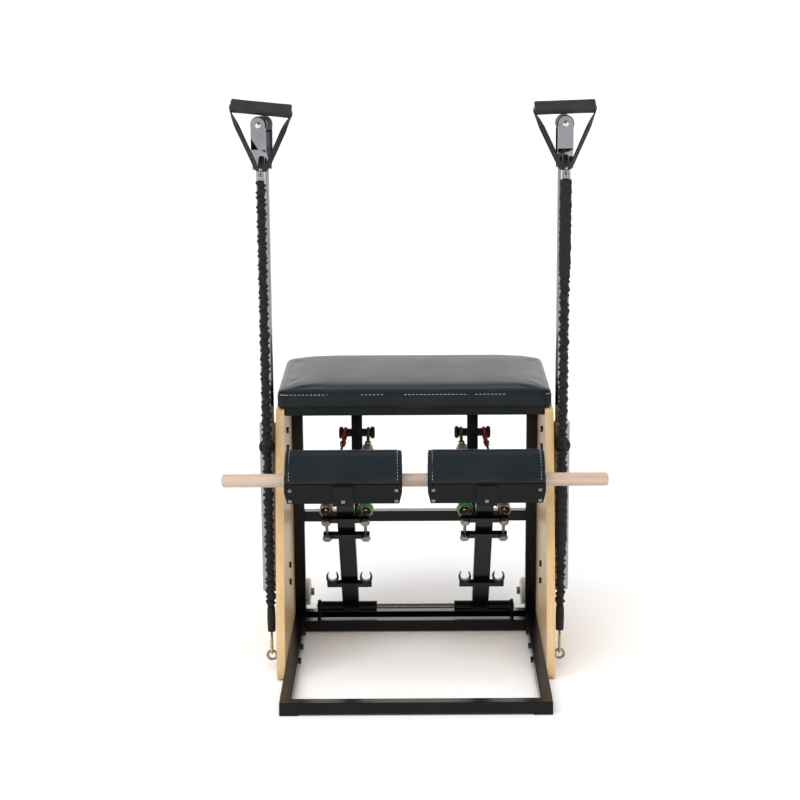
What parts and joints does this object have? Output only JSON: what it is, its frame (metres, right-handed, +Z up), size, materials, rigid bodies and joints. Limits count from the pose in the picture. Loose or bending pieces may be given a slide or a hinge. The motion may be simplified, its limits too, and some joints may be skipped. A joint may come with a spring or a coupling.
{
  "type": "pilates chair",
  "caption": "Padded exercise chair with a split spring-loaded pedal, side panels, and chrome poles that carry elastic ropes with foam handles.",
  "frame": {"origin": "on the floor, at the middle of the chair's width and depth", "axes": "+X to the chair's right as seen from the pedal side, +Y towards the back, +Z up"},
  "size_m": [0.826, 0.693, 1.2497],
  "materials": {
    "black_steel": "satin",
    "plywood": "satin",
    "seat_vinyl": "satin",
    "bolt_steel": "satin",
    "bright_steel": "satin",
    "foot_rubber": "matte",
    "chrome": "polished",
    "rope_fabric": "matte",
    "dowel_maple": "satin",
    "panel_maple": "satin",
    "bush_plastic": "matte",
    "black_wood": "satin",
    "clip_plastic": "matte",
    "strap_webbing": "matte",
    "spring_steel": "satin",
    "black_webbing": "matte",
    "elastic_rubber": "matte",
    "grip_foam": "matte",
    "wheel_plastic": "matte"
  },
  "bodies": {
    "frame": {"base_rails": "black_steel", "cross_bars": "black_steel", "uprights": "black_steel", "spring_posts": "black_steel", "seat_frame": "black_steel", "seat_board": "plywood", "seat_cushion": "seat_vinyl", "left_side_panel": "panel_maple", "right_side_panel": "panel_maple", "panel_bolts": "bolt_steel", "foot_pads": "foot_rubber", "hinge_axle": "bright_steel", "hinge_brackets": "black_steel", "spring_peg_bars": "black_steel", "pole_sockets": "chrome", "rope_eye_bolts": "bright_steel", "snap_hooks": "bright_steel", "rope_end_sleeves": "rope_fabric", "left_rope_sleeve": "rope_fabric", "right_rope_sleeve": "rope_fabric", "wheel_axles": "bolt_steel"},
    "dowel": {"wooden_dowel": "dowel_maple"},
    "left_pedal": {"left_pedal_arm": "black_steel", "left_hinge_bushes": "bush_plastic", "left_pedal_box": "black_wood", "left_pedal_cushion": "seat_vinyl", "left_pedal_screws": "bolt_steel", "left_spring_anchor_bolts": "bright_steel", "left_rod_clips": "clip_plastic"},
    "left_springs": {"left_spring_straps": "strap_webbing", "left_spring_top_fittings": "black_steel", "left_spring_coils": "spring_steel"},
    "left_spring_ends": {"left_spring_end_cups": "bright_steel"},
    "left_pole": {"left_pole": "chrome"},
    "left_roller": {"left_fork_roller": "clip_plastic"},
    "left_handle": {"left_handle_strap": "black_webbing", "left_rope_ferrule": "chrome", "left_elastic_cord": "elastic_rubber"},
    "left_grip": {"left_handle_grip": "grip_foam"},
    "left_knob": {"left_lock_knob": "clip_plastic"},
    "left_wheel": {"left_wheel": "wheel_plastic"},
    "right_pedal": {"right_pedal_arm": "black_steel", "right_hinge_bushes": "bush_plastic", "right_pedal_box": "black_wood", "right_pedal_cushion": "seat_vinyl", "right_pedal_screws": "bolt_steel", "right_spring_anchor_bolts": "bright_steel", "right_rod_clips": "clip_plastic"},
    "right_springs": {"right_spring_straps": "strap_webbing", "right_spring_top_fittings": "black_steel", "right_spring_coils": "spring_steel"},
    "right_spring_ends": {"right_spring_end_cups": "bright_steel"},
    "right_pole": {"right_pole": "chrome"},
    "right_roller": {"right_fork_roller": "clip_plastic"},
    "right_handle": {"right_handle_strap": "black_webbing", "right_rope_ferrule": "chrome", "right_elastic_cord": "elastic_rubber"},
    "right_grip": {"right_handle_grip": "grip_foam"},
    "right_knob": {"right_lock_knob": "clip_plastic"},
    "right_wheel": {"right_wheel": "wheel_plastic"}
  },
  "joints": [
    {"name": "left_pedal_press", "type": "hinge", "parent": "frame", "child": "left_pedal", "pos_m": [0, 0.2115, 0.052], "axis": [1, 0, 0], "range_deg": [0, 42], "stiffness_Nm_per_rad": 120, "springref_deg": -11.46},
    {"name": "left_spring_swing", "type": "hinge", "parent": "frame", "child": "left_springs", "pos_m": [0, 0.252, 0.463], "axis": [1, 0, 0], "range_deg": [0, 20.27]},
    {"name": "left_spring_stretch", "type": "slide", "parent": "left_springs", "child": "left_spring_ends", "axis": [0, -0.948, -0.3184], "range_m": [0, 0.24902], "deforming": ["left_spring_coils"]},
    {"name": "left_pole_height", "type": "slide", "parent": "frame", "child": "left_pole", "axis": [0, 0, 1], "range_m": [-0.25, 0], "deforming": ["left_rope_sleeve"]},
    {"name": "left_roller_spin", "type": "hinge", "parent": "left_pole", "child": "left_roller", "pos_m": [-0.323, 0.0165, 1.195], "axis": [0.2588, 0.9659, 0], "continuous": true},
    {"name": "left_handle_pull", "type": "slide", "parent": "left_pole", "child": "left_handle", "axis": [-0.0049, 0.0345, 0.9994], "range_m": [0, 0.25], "stiffness_N_per_m": 80, "springref_m": -0.15},
    {"name": "left_grip_spin", "type": "hinge", "parent": "left_handle", "child": "left_grip", "pos_m": [-0.323, 0.0165, 1.22877], "axis": [0.9949, 0, -0.1011], "continuous": true},
    {"name": "left_knob_turn", "type": "hinge", "parent": "frame", "child": "left_knob", "pos_m": [-0.323, -0.0235, 0.498], "axis": [0, 1, 0], "range_deg": [0, 360]},
    {"name": "left_wheel_spin", "type": "hinge", "parent": "frame", "child": "left_wheel", "pos_m": [-0.2635, 0.3135, 0.055], "axis": [1, 0, 0], "continuous": true},
    {"name": "right_pedal_press", "type": "hinge", "parent": "frame", "child": "right_pedal", "pos_m": [0, 0.2115, 0.052], "axis": [1, 0, 0], "range_deg": [0, 42], "stiffness_Nm_per_rad": 120, "springref_deg": -11.46},
    {"name": "right_spring_swing", "type": "hinge", "parent": "frame", "child": "right_springs", "pos_m": [0, 0.252, 0.463], "axis": [1, 0, 0], "range_deg": [0, 20.27]},
    {"name": "right_spring_stretch", "type": "slide", "parent": "right_springs", "child": "right_spring_ends", "axis": [0, -0.948, -0.3184], "range_m": [0, 0.24902], "deforming": ["right_spring_coils"]},
    {"name": "right_pole_height", "type": "slide", "parent": "frame", "child": "right_pole", "axis": [0, 0, 1], "range_m": [-0.25, 0], "deforming": ["right_rope_sleeve"]},
    {"name": "right_roller_spin", "type": "hinge", "parent": "right_pole", "child": "right_roller", "pos_m": [0.323, 0.0165, 1.195], "axis": [-0.0349, 0.9994, 0], "continuous": true},
    {"name": "right_handle_pull", "type": "slide", "parent": "right_pole", "child": "right_handle", "axis": [0.0049, 0.0345, 0.9994], "range_m": [0, 0.25], "stiffness_N_per_m": 80, "springref_m": -0.15},
    {"name": "right_grip_spin", "type": "hinge", "parent": "right_handle", "child": "right_grip", "pos_m": [0.323, 0.0165, 1.22862], "axis": [0.9995, 0, 0.0314], "continuous": true},
    {"name": "right_knob_turn", "type": "hinge", "parent": "frame", "child": "right_knob", "pos_m": [0.323, -0.0235, 0.498], "axis": [0, 1, 0], "range_deg": [0, 360]},
    {"name": "right_wheel_spin", "type": "hinge", "parent": "frame", "child": "right_wheel", "pos_m": [0.2635, 0.3135, 0.055], "axis": [1, 0, 0], "continuous": true},
    {"name": "dowel_slide", "type": "slide", "parent": "left_pedal", "child": "dowel", "axis": [1, 0, 0], "range_m": [0, 0.7]}
  ],
  "couplings": [
    {"joint": "left_spring_swing", "follows": "left_pedal_press", "ratio": 0.48246},
    {"joint": "left_spring_stretch", "follows": "left_pedal_press", "m_per_rad": 0.33957},
    {"joint": "right_spring_swing", "follows": "left_pedal_press", "ratio": 0.48246},
    {"joint": "right_spring_stretch", "follows": "left_pedal_press", "m_per_rad": 0.33957},
    {"joint": "right_pedal_press", "follows": "left_pedal_press", "ratio": 1}
  ]
}
